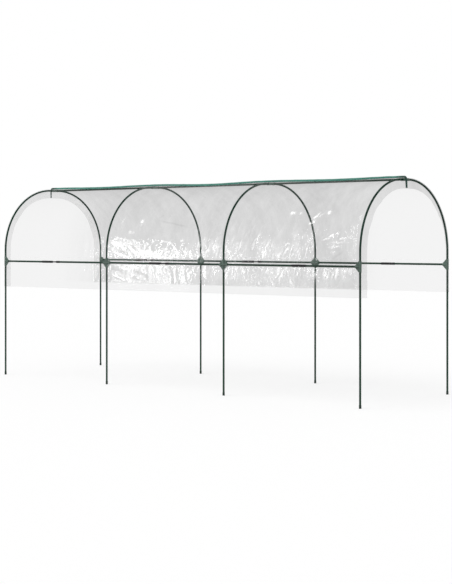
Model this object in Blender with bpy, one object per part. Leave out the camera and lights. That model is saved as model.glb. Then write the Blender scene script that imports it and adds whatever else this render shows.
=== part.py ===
"""A tunnel greenhouse: four tube hoops, the rails that tie them and a clear cover drawn over the top.

Metres, +Z up, ground at Z 0. The tunnel lies along X and its footprint is centred on the origin.
Hoops 1 to 4 stand from -X to +X. "Right" is the -Y side and "left" is the +Y side.
"""

import math

import bmesh
import bpy
from mathutils import Matrix, Vector

# Frame
HOOPS = 4
BAY = 1.300  # from one hoop to the next
SPAN = 1.200  # between the two legs of a hoop, centre to centre
RAIL_Z = 1.028  # side rails and side connectors
SPRING_Z = 1.128  # where the upright tube starts to bend
BEND_R = 0.5515  # radius of each quarter of the arch
APEX_Z = SPRING_Z + BEND_R
LEVEL = SPAN / 2 - BEND_R  # straight run of an arch from its bend to the ridge
CLIMB = SPRING_Z - RAIL_Z + BEND_R * math.pi / 2 + LEVEL  # along an arch from the side rail to the ridge
FIT_GAP = 0.0003  # between pieces that touch

# Tube
TUBE_R = 0.008
TUBE_WALL = 0.0008
TUBE_SIDES = 12
BEND_STEPS = 14

# Moulded connectors: sockets on a flat web with a bead along its edges
BORE_R = TUBE_R + FIT_GAP
SOCKET_R = 0.0106
ARM = 0.042  # centre to the mouth of a socket
BORE_FLOOR = 0.0115  # centre to the bottom of a socket
TUBE_END = BORE_FLOOR + 0.0005  # centre to the end of a seated tube
WEB_THICK = 0.005
WEB_REACH = 0.039  # how far the web runs out along an arm
WEB_EDGE = 0.009  # half width of the web where it ends on an arm
BEAD_R = 0.0035
BEAD_SIDES = 10

# Foot caps
CAP_R = 0.0095
CAP_HEIGHT = 0.025
CAP_FLOOR = 0.003
CAP_BEVEL = 0.0012

# Rail couplers: a long barrel and a short collar on a thin neck, or in the last bay one plain sleeve
BARREL_START, BARREL_END = 0.494, 0.624  # from the bay's lower hoop
COLLAR_START, COLLAR_END = 0.676, 0.715
SLEEVE_START, SLEEVE_END = 0.676, 0.806
SLEEVE_MIDDLE = (SLEEVE_START + SLEEVE_END) / 2
BARREL_R = 0.0097
COLLAR_R = 0.0093
NECK_R = 0.0055
COUPLER_FLOOR = 0.006  # solid left between a coupler's two sockets, or behind a socket

# Cover
FILM_THICK = 0.00015
FILM_OFF = 0.0125  # from tube centres to the middle of the film
HEM_Z = {"right": 0.799, "left": 0.808}
LIP = 0.070  # end margin turned inward, from the tube's centre
LIP_FLARE = {-1: math.radians(6), 1: math.radians(18)}  # by end: how far the lip leans out at the left hem
SAG = 0.008  # inward between the hoops
SEAT = 0.0035  # half width of the strip of film that lies on the ridge rail
SEAT_DIP = FILM_OFF - TUBE_R - FILM_THICK / 2 - FIT_GAP  # of that strip, between the hoops
DIP = (0.0070, 0.0120, 0.0065)  # of the film beside the ridge rail, by bay
DIP_AT = 0.026  # from the ridge rail, where the dip is deepest
DIP_REACH = 0.35  # over which the dip fades towards the side
HEM_WAVE = 0.009  # how far the hem swings in
WAVES_IN_BAY = 1.5
LEFT_PHASE = 2.0  # radians by which the left hem's waves run ahead of the right's
SKIRT_ROWS = 1
ARC_ROWS = 7
BAY_COLUMNS = 6
FOLD_COLUMNS = 2
LIP_COLUMNS = 1

# Binding of the seam along the ridge, a fin that stands on the cover and runs on down both lips
FIN_Y = -0.026
FIN_HEIGHT = 0.018
FIN_THICK = 0.0018
FIN_TAIL = 0.066  # below the ridge tube's centre
FIN_SWAY = 0.0015  # of its top edge, either way
SWAY_TURN = 1.7  # radians from one station to the next
FIN_BENDS = [math.radians(angle) for angle in (20, 45, 70)]  # stations round the end hoop

SHARP = math.radians(40)
MERGE = 0.00001


def clear_scene():
    for obj in list(bpy.data.objects):
        bpy.data.objects.remove(obj, do_unlink=True)


def hoop_x(hoop):
    """X of hoop 1, 2, 3 or 4."""
    return (hoop - (HOOPS + 1) / 2) * BAY


# Materials


def material(name, color, roughness, metallic=0.0, alpha=1.0):
    mat = bpy.data.materials.new(name)
    mat.use_nodes = True
    shader = mat.node_tree.nodes["Principled BSDF"]
    shader.inputs["Base Color"].default_value = (*color, 1.0)
    shader.inputs["Roughness"].default_value = roughness
    shader.inputs["Metallic"].default_value = metallic
    shader.inputs["Alpha"].default_value = alpha
    return mat


def make_materials():
    return {
        "tube": material("green_tube", (0.030, 0.062, 0.042), 0.35, metallic=0.1),
        "moulding": material("green_plastic", (0.105, 0.165, 0.120), 0.50),
        "black": material("black_plastic", (0.012, 0.013, 0.013), 0.45),
        "film": material("clear_film", (0.90, 0.91, 0.91), 0.12, alpha=0.25),
        "binding": material("ridge_fabric", (0.065, 0.190, 0.140), 0.75),
    }


# Objects


def empty(name, location, parent=None):
    obj = bpy.data.objects.new(name, None)
    bpy.context.collection.objects.link(obj)
    obj.location = location
    obj.parent = parent
    return obj


def place(name, mesh, mat, parent, location=(0, 0, 0), rotation=(0, 0, 0)):
    """A named piece under its parent; pieces of one shape share a mesh and its material."""
    obj = bpy.data.objects.new(name, mesh)
    bpy.context.collection.objects.link(obj)
    if not mesh.materials:
        mesh.materials.append(mat)
    obj.parent = parent
    obj.location = location
    obj.rotation_euler = rotation
    return obj


# Shapes


def mesh_from(name, bm):
    """A smooth-shaded mesh whose real corners stay sharp."""
    bmesh.ops.recalc_face_normals(bm, faces=bm.faces[:])
    mesh = bpy.data.meshes.new(name)
    bm.to_mesh(mesh)
    bm.free()
    mesh.shade_smooth()
    mesh.set_sharp_from_angle(angle=SHARP)
    return mesh


def with_modifiers(name, mesh, add_modifiers):
    """The mesh after the modifiers that add_modifiers puts on it, ready to share between objects."""
    work = bpy.data.objects.new(name, mesh)
    bpy.context.collection.objects.link(work)
    add_modifiers(work)
    graph = bpy.context.evaluated_depsgraph_get()
    made = bpy.data.meshes.new_from_object(work.evaluated_get(graph))
    bpy.data.objects.remove(work, do_unlink=True)
    made.name = name
    made.shade_smooth()
    made.set_sharp_from_angle(angle=SHARP)
    return made


def draw_out(bm, edges, step):
    """Extrudes a ring of edges by step and gives back the new ring."""
    made = bmesh.ops.extrude_edge_only(bm, edges=edges)["geom"]
    bmesh.ops.translate(bm, verts=[v for v in made if isinstance(v, bmesh.types.BMVert)], vec=step)
    return [e for e in made if isinstance(e, bmesh.types.BMEdge)]


def tube_ring(bm, location=(0, 0, 0)):
    bmesh.ops.create_circle(
        bm, radius=TUBE_R, segments=TUBE_SIDES, matrix=Matrix.Translation(location)
    )
    return bm.edges[:]


def hollow(name, bm):
    """A tube from its outer skin, with the wall's thickness on the inside."""

    def add_wall(work):
        wall = work.modifiers.new("wall", "SOLIDIFY")
        wall.thickness = TUBE_WALL
        wall.offset = -1
        wall.use_even_offset = True

    return with_modifiers(name, mesh_from(name, bm), add_wall)


def straight_tube(name, length):
    """A tube that runs up from its own origin."""
    bm = bmesh.new()
    draw_out(bm, tube_ring(bm), (0, 0, length))
    return hollow(name, bm)


def quarter_arch(name):
    """The right half of an arch, in its hoop's frame: straight up, round the bend and in to the ridge."""
    bm = bmesh.new()
    start = RAIL_Z + TUBE_END
    ring = draw_out(bm, tube_ring(bm, (0, -SPAN / 2, start)), (0, 0, SPRING_Z - start))
    corners = list({v for e in ring for v in e.verts})
    bend = bmesh.ops.spin(
        bm,
        geom=ring + corners,
        cent=(0, -SPAN / 2 + BEND_R, SPRING_Z),
        axis=(-1, 0, 0),
        angle=math.pi / 2,
        steps=BEND_STEPS,
    )
    ring = [e for e in bend["geom_last"] if isinstance(e, bmesh.types.BMEdge)]
    draw_out(bm, ring, (0, LEVEL - TUBE_END, 0))
    return hollow(name, bm)


def turned(name, profile):
    """A solid turned about Z from (radius, height) points that run down its outer side."""
    bm = bmesh.new()
    points = [bm.verts.new((radius, 0, height)) for radius, height in profile]
    for first, second in zip(points, points[1:]):
        bm.edges.new((first, second))
    mesh = bpy.data.meshes.new(name + "_profile")
    bm.to_mesh(mesh)
    bm.free()

    def add_screw(work):
        screw = work.modifiers.new("turn", "SCREW")
        screw.steps = TUBE_SIDES
        screw.render_steps = TUBE_SIDES
        screw.use_merge_vertices = True
        screw.merge_threshold = MERGE

    return with_modifiers(name, mesh, add_screw)


def foot_cap(name):
    """A cup that the leg stands in, from its floor at Z 0."""
    return turned(
        name,
        [
            (0, CAP_FLOOR),
            (BORE_R, CAP_FLOOR),
            (BORE_R, CAP_HEIGHT),
            (CAP_R, CAP_HEIGHT),
            (CAP_R, CAP_BEVEL),
            (CAP_R - CAP_BEVEL, 0),
            (0, 0),
        ],
    )


def waisted_coupler(name):
    """Barrel, neck and collar, with Z as distance from the bay's lower hoop."""
    return turned(
        name,
        [
            (0, COLLAR_START + COUPLER_FLOOR),
            (BORE_R, COLLAR_START + COUPLER_FLOOR),
            (BORE_R, COLLAR_END),
            (COLLAR_R, COLLAR_END),
            (COLLAR_R, COLLAR_START),
            (NECK_R, COLLAR_START),
            (NECK_R, BARREL_END),
            (BARREL_R, BARREL_END),
            (BARREL_R, BARREL_START),
            (BORE_R, BARREL_START),
            (BORE_R, BARREL_END - COUPLER_FLOOR),
            (0, BARREL_END - COUPLER_FLOOR),
        ],
    )


def plain_sleeve(name):
    """A sleeve with a stop in the middle, with Z as distance from the bay's lower hoop."""
    half_stop = COUPLER_FLOOR / 2
    return turned(
        name,
        [
            (0, SLEEVE_MIDDLE + half_stop),
            (BORE_R, SLEEVE_MIDDLE + half_stop),
            (BORE_R, SLEEVE_END),
            (BARREL_R, SLEEVE_END),
            (BARREL_R, SLEEVE_START),
            (BORE_R, SLEEVE_START),
            (BORE_R, SLEEVE_MIDDLE - half_stop),
            (0, SLEEVE_MIDDLE - half_stop),
        ],
    )


def web_corner(quarter):
    """The two ends of the web's slanted edge from one arm to the next."""
    turn = Matrix.Rotation(quarter * math.pi / 2, 2)
    return [turn @ Vector((WEB_REACH, WEB_EDGE)), turn @ Vector((WEB_EDGE, WEB_REACH))]


def web(name, quarters):
    """The flat web in the XY plane, between the arms that bound the given quarters."""
    outline = [point for quarter in quarters for point in web_corner(quarter)]
    if len(quarters) < 4:
        outline += [Vector((-WEB_EDGE / 2, WEB_REACH)), Vector((-WEB_EDGE / 2, -WEB_REACH))]
    bm = bmesh.new()
    base = bm.faces.new([bm.verts.new((x, y, -WEB_THICK / 2)) for x, y in outline])
    top = bmesh.ops.extrude_face_region(bm, geom=[base], use_keep_orig=True)["geom"]
    bmesh.ops.translate(
        bm, verts=[v for v in top if isinstance(v, bmesh.types.BMVert)], vec=(0, 0, WEB_THICK)
    )
    return mesh_from(name, bm)


def bead(bm, quarter):
    """A round bead along a slanted edge of the web."""
    start, end = web_corner(quarter)
    middle = (start + end) / 2
    along = (end - start).to_3d().to_track_quat("Z", "Y").to_matrix().to_4x4()
    bmesh.ops.create_cone(
        bm,
        cap_ends=True,
        segments=BEAD_SIDES,
        radius1=BEAD_R,
        radius2=BEAD_R,
        depth=(end - start).length,
        matrix=Matrix.Translation(middle.to_3d()) @ along,
    )


def rod(bm, radius, start, end, quarter):
    """A round rod along one arm of a connector, from start to end off its centre."""
    along = Matrix.Rotation(quarter * math.pi / 2, 4, "Z") @ Matrix.Rotation(math.pi / 2, 4, "Y")
    bmesh.ops.create_cone(
        bm,
        cap_ends=True,
        segments=TUBE_SIDES,
        radius1=radius,
        radius2=radius,
        depth=end - start,
        matrix=along @ Matrix.Translation((0, 0, (start + end) / 2)),
    )


def guide(name, bm):
    """A solid that only shapes another: it is joined or cut away and then removed."""
    obj = bpy.data.objects.new(name, mesh_from(name, bm))
    bpy.context.collection.objects.link(obj)
    obj.hide_render = True
    obj.display_type = "WIRE"
    return obj


def connector(name, quarters, arms):
    """A moulding with a socket for each arm: 0 is +X, 1 is +Y, 2 is -X and 3 is -Y."""
    sleeve = bmesh.new()
    rod(sleeve, SOCKET_R, -ARM, ARM, 1)
    sockets_y = guide("sockets_y", sleeve)
    sleeve = bmesh.new()
    rod(sleeve, SOCKET_R, -ARM if 2 in arms else 0, ARM, 0)
    sockets_x = guide("sockets_x", sleeve)
    edges = bmesh.new()
    for quarter in quarters:
        bead(edges, quarter)
    beads = guide("beads", edges)
    holes = bmesh.new()
    for arm in arms:
        rod(holes, BORE_R, BORE_FLOOR, ARM + TUBE_R, arm)
    bores = guide("bores", holes)

    def add_booleans(work):
        for tool in (beads, sockets_y, sockets_x, bores):
            step = work.modifiers.new(tool.name, "BOOLEAN")
            step.object = tool
            step.operation = "DIFFERENCE" if tool is bores else "UNION"
            step.solver = "EXACT"

    made = with_modifiers(name, web(name + "_web", quarters), add_booleans)
    for tool in (beads, sockets_y, sockets_x, bores):
        bpy.data.objects.remove(tool, do_unlink=True)
    return made


# Cover


def cover_side(side):
    """Rows from a side's hem to the ridge rail's edge: (place, inward direction, share).

    The share runs from 0 at the side rail to 1 at the crown, and below the rail down to -1 at the hem.
    """
    sign = -1 if side == "right" else 1
    rows = []
    for k in range(SKIRT_ROWS):
        share = 1 - k / SKIRT_ROWS
        z = RAIL_Z + (HEM_Z[side] - RAIL_Z) * share
        rows.append((Vector((0, sign * SPAN / 2, z)), Vector((0, -sign, 0)), -share))
    rows.append((Vector((0, sign * SPAN / 2, RAIL_Z)), Vector((0, -sign, 0)), 0))
    centre = Vector((0, sign * LEVEL, SPRING_Z))
    for k in range(ARC_ROWS + 1):
        turn = k / ARC_ROWS * math.pi / 2
        inward = Vector((0, -sign * math.cos(turn), -math.sin(turn)))
        climbed = SPRING_Z - RAIL_Z + BEND_R * turn
        rows.append((centre - inward * BEND_R, inward, climbed / CLIMB))
    for reach in (DIP_AT, SEAT):
        rows.append((Vector((0, sign * reach, APEX_Z)), Vector((0, 0, -1)), 1 - reach / CLIMB))
    return rows


def cover_rows():
    """All rows from the right hem over the crown to the left hem."""
    crown = (Vector((0, 0, APEX_Z)), Vector((0, 0, -1)), 1)
    return cover_side("right") + [crown] + cover_side("left")[::-1]


def dip(bay, reach):
    """How far the film hangs down halfway between two hoops, at a distance along it from the crown."""
    if reach > DIP_AT:
        return DIP[bay - 1] * math.exp(-(((reach - DIP_AT) / DIP_REACH) ** 2))
    off_seat = max(0, (reach - SEAT) / (DIP_AT - SEAT))
    return SEAT_DIP + (DIP[bay - 1] - SEAT_DIP) * off_seat


def drawn_in(bay, along, share, phase=0):
    """How far the film lies inside its taut line, at a share of the bay's length."""
    free = math.sin(math.pi * along) ** 2
    if share >= 0:
        return free * (SAG * math.sin(math.pi * share) + dip(bay, (1 - share) * CLIMB))
    swing = 0.5 + 0.5 * math.cos(2 * math.pi * WAVES_IN_BAY * along + bay + phase)
    return HEM_WAVE * -share * free * swing


def lip_flare(end, across):
    """The lean of the lip out of the end plane, which grows towards the left hem."""
    return LIP_FLARE[end] * across**2


def end_columns(row, end, across):
    """Points of one row past an end hoop: round its tube, then inward along the lip."""
    spot, inward, _ = row
    outward = Vector((end, 0, 0))
    hub = spot + outward * hoop_x(HOOPS)
    points = []
    for k in range(1, FOLD_COLUMNS + 1):
        turn = k / FOLD_COLUMNS * math.pi / 2
        points.append(hub + (outward * math.sin(turn) - inward * math.cos(turn)) * FILM_OFF)
    lean = lip_flare(end, across)
    run = outward * math.sin(lean) + inward * math.cos(lean)
    for k in range(1, LIP_COLUMNS + 1):
        points.append(hub + outward * FILM_OFF + run * LIP * k / LIP_COLUMNS)
    return points


def bay_columns(row, phase):
    """Points of one row over the hoops, from hoop 1 to hoop 4."""
    spot, inward, share = row
    points = []
    for bay in range(1, HOOPS):
        for k in range(BAY_COLUMNS):
            along = k / BAY_COLUMNS
            depth = drawn_in(bay, along, share, phase) - FILM_OFF
            points.append(spot + inward * depth + Vector((hoop_x(bay) + along * BAY, 0, 0)))
    points.append(spot - inward * FILM_OFF + Vector((hoop_x(HOOPS), 0, 0)))
    return points


def cover_film(name):
    """The film's middle surface, thickened both ways."""
    rows = cover_rows()
    bm = bmesh.new()
    grid = []
    for k, row in enumerate(rows):
        across = k / (len(rows) - 1)
        phase = LEFT_PHASE if across > 0.5 else 0
        points = end_columns(row, -1, across)[::-1] + bay_columns(row, phase) + end_columns(row, 1, across)
        grid.append([bm.verts.new(point) for point in points])
    for lower, upper in zip(grid, grid[1:]):
        for k in range(len(lower) - 1):
            bm.faces.new((lower[k], lower[k + 1], upper[k + 1], upper[k]))
    bmesh.ops.triangulate(bm, faces=bm.faces[:])

    def add_thickness(work):
        sheet = work.modifiers.new("film", "SOLIDIFY")
        sheet.thickness = FILM_THICK
        sheet.offset = 0

    return with_modifiers(name, mesh_from(name, bm), add_thickness)


def binding_end(end):
    """Stations round an end hoop and down its lip."""
    rise = FILM_OFF + FILM_THICK / 2 + FIT_GAP
    hub = Vector((hoop_x(HOOPS) * end, 0, APEX_Z))
    stations = []
    for turn in FIN_BENDS:
        out = Vector((end * math.sin(turn), 0, math.cos(turn)))
        stations.append((hub + out * rise, out))
    lean = lip_flare(end, 0.5)
    out = Vector((end * math.cos(lean), 0, math.sin(lean)))
    down = Vector((end * math.sin(lean), 0, -math.cos(lean)))
    start = hub + Vector((end * rise, 0, 0)) + out * FIT_GAP
    for share in (0, 0.5, 1):
        stations.append((start + down * FIN_TAIL * share, out))
    return stations


def binding_stations():
    """(foot on the film, direction out of it) from hoop 1's tail over the ridge to hoop 4's tail."""
    rise = FILM_OFF + FILM_THICK / 2 + FIT_GAP
    inner_edge = 1 - (-FIN_Y - FIN_THICK / 2) / CLIMB
    ridge = []
    for bay in range(1, HOOPS):
        for k in range(BAY_COLUMNS + (bay == HOOPS - 1)):
            along = k / BAY_COLUMNS
            fall = drawn_in(bay, along, inner_edge)
            foot = Vector((hoop_x(bay) + along * BAY, 0, APEX_Z + rise - fall))
            ridge.append((foot, Vector((0, 0, 1))))
    return binding_end(-1)[::-1] + ridge + binding_end(1)


def ridge_binding(name):
    """A strip on edge, swept along its stations with a slight sway."""
    bm = bmesh.new()
    side = Vector((0, FIN_THICK / 2, 0))
    loops = []
    for k, (foot, outward) in enumerate(binding_stations()):
        sway = Vector((0, FIN_SWAY * math.sin(SWAY_TURN * k), 0))
        foot = foot + Vector((0, FIN_Y, 0))
        tip = foot + outward * FIN_HEIGHT + sway
        loops.append([bm.verts.new(p) for p in (foot - side, foot + side, tip + side, tip - side)])
    for first, second in zip(loops, loops[1:]):
        for k in range(4):
            bm.faces.new((first[k], first[k - 3], second[k - 3], second[k]))
    bm.faces.new(loops[0])
    bm.faces.new(loops[-1][::-1])
    bmesh.ops.triangulate(bm, faces=bm.faces[:])
    return mesh_from(name, bm)


# Assembly


def add_hoops(mats):
    """Legs, caps, side connectors and quarter arches of each hoop, with its ridge connector."""
    leg = straight_tube("leg", RAIL_Z - TUBE_END - CAP_FLOOR - FIT_GAP)
    cap = foot_cap("foot_cap")
    arch = quarter_arch("quarter_arch")
    cross = connector("cross_connector", (0, 1, 2, 3), (0, 1, 2, 3))
    tee = connector("tee_connector", (3, 0), (0, 1, 3))
    upright = math.pi / 2
    for hoop in range(1, HOOPS + 1):
        base = empty(f"hoop_{hoop}", (hoop_x(hoop), 0, 0))
        joint = tee if hoop in (1, HOOPS) else cross
        turn = math.pi if hoop == HOOPS else 0
        for side, sign in (("right", -1), ("left", 1)):
            y = sign * SPAN / 2
            end = f"{hoop}_{side}"
            place(f"leg_{end}", leg, mats["tube"], base, (0, y, CAP_FLOOR + FIT_GAP))
            place(f"foot_cap_{end}", cap, mats["black"], base, (0, y, 0))
            place(f"side_connector_{end}", joint, mats["moulding"], base, (0, y, RAIL_Z), (upright, 0, turn))
            swing = 0 if side == "right" else math.pi
            place(f"arch_tube_{end}", arch, mats["tube"], base, rotation=(0, 0, swing))
        place(f"ridge_connector_{hoop}", joint, mats["moulding"], base, (0, 0, APEX_Z), (0, 0, turn))


def add_rails(mats):
    """For each bay the side rails in two lengths with their coupler, and the ridge rail in one."""
    cuts = {
        "waisted": (BARREL_END - COUPLER_FLOOR - FIT_GAP, COLLAR_START + COUPLER_FLOOR + FIT_GAP),
        "plain": (SLEEVE_MIDDLE - COUPLER_FLOOR / 2 - FIT_GAP, SLEEVE_MIDDLE + COUPLER_FLOOR / 2 + FIT_GAP),
    }
    couplers = {"waisted": waisted_coupler("waisted_coupler"), "plain": plain_sleeve("plain_sleeve")}
    lower = {kind: straight_tube(f"lower_rail_{kind}", cut[0] - TUBE_END) for kind, cut in cuts.items()}
    upper = {kind: straight_tube(f"upper_rail_{kind}", BAY - TUBE_END - cut[1]) for kind, cut in cuts.items()}
    ridge = straight_tube("ridge_rail", BAY - 2 * TUBE_END)
    lying = (0, math.pi / 2, 0)
    for bay in range(1, HOOPS):
        base = empty(f"bay_{bay}", (hoop_x(bay), 0, 0))
        kind = "plain" if bay == HOOPS - 1 else "waisted"
        for side, sign in (("right", -1), ("left", 1)):
            y = sign * SPAN / 2
            end = f"{bay}_{side}"
            place(f"side_rail_{end}_a", lower[kind], mats["tube"], base, (TUBE_END, y, RAIL_Z), lying)
            place(f"side_rail_{end}_b", upper[kind], mats["tube"], base, (cuts[kind][1], y, RAIL_Z), lying)
            place(f"rail_coupler_{end}", couplers[kind], mats["black"], base, (0, y, RAIL_Z), lying)
        place(f"ridge_rail_{bay}", ridge, mats["tube"], base, (TUBE_END, 0, APEX_Z), lying)


def add_cover(mats):
    cover = empty("cover", (0, 0, 0))
    place("cover_film", cover_film("cover_film"), mats["film"], cover)
    place("ridge_binding", ridge_binding("ridge_binding"), mats["binding"], cover)


def main():
    clear_scene()
    mats = make_materials()
    add_hoops(mats)
    add_rails(mats)
    add_cover(mats)


main()
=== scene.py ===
"""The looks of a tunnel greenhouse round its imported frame: cover, binding, arches, finishes and studio.

Metres, in the frame's own axes: X along the tunnel, the right side at -Y, the ground at Z 0.
"""

import math

import bmesh
import bpy
from mathutils import Matrix, Vector, noise


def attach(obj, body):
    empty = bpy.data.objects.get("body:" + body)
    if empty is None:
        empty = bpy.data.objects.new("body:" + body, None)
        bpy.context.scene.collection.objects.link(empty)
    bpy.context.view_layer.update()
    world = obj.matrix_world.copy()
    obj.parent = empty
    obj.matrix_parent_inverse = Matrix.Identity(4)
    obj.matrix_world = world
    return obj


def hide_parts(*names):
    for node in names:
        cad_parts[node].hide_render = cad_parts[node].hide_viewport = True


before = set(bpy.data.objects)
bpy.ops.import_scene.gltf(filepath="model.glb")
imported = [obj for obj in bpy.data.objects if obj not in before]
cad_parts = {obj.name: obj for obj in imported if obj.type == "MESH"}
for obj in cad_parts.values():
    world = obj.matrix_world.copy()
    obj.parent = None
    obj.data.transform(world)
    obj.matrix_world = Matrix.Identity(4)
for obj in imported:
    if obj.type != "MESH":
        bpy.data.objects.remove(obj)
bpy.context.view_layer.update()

# Frame, as in the CAD; heights are of the tubes' centre lines
HOOPS = 4
BAY = 1.300  # from hoop to hoop
SPAN = 1.200  # from leg to leg
RAIL_Z = 1.028
SPRING_Z = 1.128  # where the arches start to bend
BEND_R = 0.5515
APEX_Z = SPRING_Z + BEND_R
END_X = 1.5 * BAY
TUBE_R = 0.008
TUBE_WALL = 0.0008
TUBE_END = 0.012  # from a connector's middle to the end of a tube in its socket
FIT_GAP = 0.0003
SIDES = {-1: "right", 1: "left"}

# Finer arches
ARCH_SIDES = 24
ARCH_STEPS = 36

# Section of the cover, from its crown: a short level part, the bend and the upright side
LEVEL = SPAN / 2 - BEND_R
BEND = BEND_R * math.pi / 2
TO_RAIL = LEVEL + BEND + SPRING_Z - RAIL_Z

# Cover
FILM_THICK = 0.00015
FILM_OFF = 0.0125  # from the tubes' centre line
HEM_Z = {-1: 0.799, 1: 0.808}  # by side
TO_HEM = {side: TO_RAIL + RAIL_Z - hem for side, hem in HEM_Z.items()}  # from the crown
LIP = 0.070  # depth of the margins turned inward round the end hoops
LIP_FLARE = {-1: math.radians(6), 1: math.radians(18)}  # lean of each end's lip at its left foot
PLEAT = 0.008  # height of the lips' pleats at their free edge
SAG = 0.008  # how far a side is drawn in, halfway between two hoops
HEM_WAVE = 0.009  # how far a hem swings in
WAVES_IN_BAY = 1.5
LEFT_PHASE = 2.0
BILLOW = 0.0050  # height of the film's broad waves
GROOVE = 0.0013  # how far the film falls away beside the tube that holds it up
GROOVE_AT = 0.016

# Cover by the ridge rail, halfway between two hoops
SEAT = 0.0035  # half width of its seat on the rail
SEAT_DIP = FILM_OFF - TUBE_R - FILM_THICK / 2 - FIT_GAP  # how far it sinks to meet the rail
DIP = (0.0070, 0.0120, 0.0065)  # how far each bay hangs down beside the rail
DIP_AT = 0.026  # where it hangs down most
DIP_REACH = 0.35  # the stretch over which that dies away

# Mesh of the cover: spacing along the tunnel and round it, and closer lines beside the tubes
COLUMN_STEP = 0.0092
ROW_STEP = 0.0078
TOP_ROW_STEP = 0.0150
TOP_ROWS_FROM = 0.55
BESIDE_TUBE = (0.0035, 0.009, 0.0155, 0.023)
FOLD_STEPS = 5
LIP_STEPS = 8

# Small creases of the cover: (angle to the tunnel, pitch, length in pitches, seed) of each family
RISING = (1.0, 0.040, 2.2, 33.5)
FALLING = (2.0, 0.035, 2.0, 41.5)
LYING = (0.12, 0.030, 3.5, 37.5)
UPRIGHT = (1.45, 0.036, 3.0, 43.5)
CROSSING = (1.9, 0.030, 2.5, 47.5)
ON_LIPS = (1.2, 0.045, 2.0, 51.5)
CREST_SLOPE = 3.2
CREASE_HEIGHTS = ((0.0016, RISING), (0.0014, FALLING), (0.0010, LYING))
UPRIGHT_HEIGHT = 0.0022
CROSSING_SHARE = 0.6  # of the upright ones' height

# Looks of the cover, as values that each of its vertices carries; among them painted highlights on its
# creases, painted shade in its tint, and a mirror strength that paints out the lamps' reflections in places
MARKS = ("creased", "haze_and_shade", "gloss", "lit")
HEM_STRIP = (0.150, 0.175)  # over this stretch below the rail the right side turns clear and dull
LIP_HAZE = {-1: 0.75, 1: 1.35}
LIP_CREASES = {-1: 0.55, 1: 0.10}
LIP_GLOSS = 0.3
LIP_LIT = 0.6
SEAM_SHADE = 1.6  # painted shade under the binding, in a narrow line along the ridge
HOLLOW_SHADE, HOLLOW_DULL = 0.9, 0.85  # painted shade that a full hollow fold adds to the tint, and the share of mirror that it takes
CLING = 0.021  # how far to each side of a tube the film lies on it, where its mirror is painted out
CLING_RAIL = 0.012
CLING_CONNECTOR = 0.050
CLING_RIDGE = 0.070
LEFT_GLOSS, LEFT_CREASED, LEFT_LIT = 0.22, 0.5, 0.35
FIRST_BAY_GLOSS = 0.3
GLOSS_FALLS = ((0.3, 0.70, 0.85), (0.6, 1.68, 1.80))  # (loss, from X, to X) towards hoop 4
GLOSS_SHOWS = 2.4  # creases show in full where the gloss is over one part in this

# Binding
FIN_Y = -0.026
FIN_FOOT = FILM_OFF + FILM_THICK / 2 + FIT_GAP  # from the tubes' centre line
FIN_THICK = 0.0022
FIN_TAIL = 0.066
FIN_STEP = 0.010
FIN_AT_HOOPS, FIN_BETWEEN, FIN_AT_TAILS = 0.0152, 0.0162, 0.0190  # height of the binding
TURN_STEPS = 8  # round an end hoop, of so many degrees each
TURN_DEGREES = 10
TAIL_STEPS = 6
TAIL_NARROWS = 0.02  # share of its height that a tail loses in a step
LONG_SWAY, SHORT_SWAY = 0.0028, 0.0012
UNEVEN = 0.07  # share by which its height varies
DARKENS = 0.09  # the stretch before each end over which painted shade turns it dark
TAPE_SHARP = math.radians(70)
STITCH_STEP = 0.0045
STITCH_SHARE = 0.72  # of a step, that its thread takes
STITCH_ROW = 0.0040  # above its foot
THREAD_R = 0.0005

# Carried-over pieces
SHARP = math.radians(40)  # edges over this angle stay sharp
WELD = 0.00001
EDGE_WIDTH = {"green_plastic": 0.0008, "black_plastic": 0.0005, "foot_plastic": 0.0005}

# Studio
AMBIENT = 0.50
FLOOR_HALF = 60
FLOOR_GREY = 0.55
FLOOR_LIFT = 0.485  # glow that brings the floor to white where nothing shades it

# Lights on the floor: (name, direction of the source, strength, spread in degrees)
SKY_LIGHTS = (
    ("key", (-0.45, -0.65, 0.95), 1.5, 50),
    ("fill", (0.8, -0.6, 0.45), 0.5, 70),
)

# Soft boxes: (name, start, end, width, aim, glow)
LAMPS = (
    ("high_window", (-3.08, -3.3, 0.2), (-3.08, -3.3, 2.3), 0.5, (-0.5, -0.6, 1.1), 11),
    ("low_window", (-2.55, -3.3, 0.2), (-2.55, -3.3, 1.4), 0.56, (-0.1, -0.6, 1.1), 11),
    ("leaning_strip", (-1.93, -7.73, 0.4), (-2.60, -5.75, 6.2), 0.7, (1.4, -0.6, 1.0), 14),
)

# Camera: level, with its frame shifted down
CAMERA_AT = (7.690, -8.843, 1.2315)
CAMERA_TURN = 0.7048
CAMERA_SHIFT = (-0.00077, -0.09136)
LENS, SENSOR = 85.12, 36
FAR_CLIP = 200


# Node trees


def node(tree, kind, inputs=None, **settings):
    """A node of a tree: an input given as a socket is linked, and any other is a value."""
    made = tree.nodes.new(kind)
    for name, value in settings.items():
        setattr(made, name, value)
    for key, value in (inputs or {}).items():
        if isinstance(value, bpy.types.NodeSocket):
            tree.links.new(value, made.inputs[key])
        else:
            made.inputs[key].default_value = value
    return made


def math_node(tree, operation, first, second=0.0, third=0.0):
    inputs = {0: first, 1: second, 2: third}
    return node(tree, "ShaderNodeMath", inputs, operation=operation).outputs[0]


def noise_node(tree, where, scale, detail, roughness=0.55):
    inputs = {"Vector": where, "Scale": scale, "Detail": detail, "Roughness": roughness}
    return node(tree, "ShaderNodeTexNoise", inputs).outputs["Fac"]


def range_node(tree, value, low, high, to_low, to_high):
    """A value taken from one range to another and held at its ends."""
    inputs = {"Value": value, "From Min": low, "From Max": high, "To Min": to_low, "To Max": to_high}
    return node(tree, "ShaderNodeMapRange", inputs).outputs[0]


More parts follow.
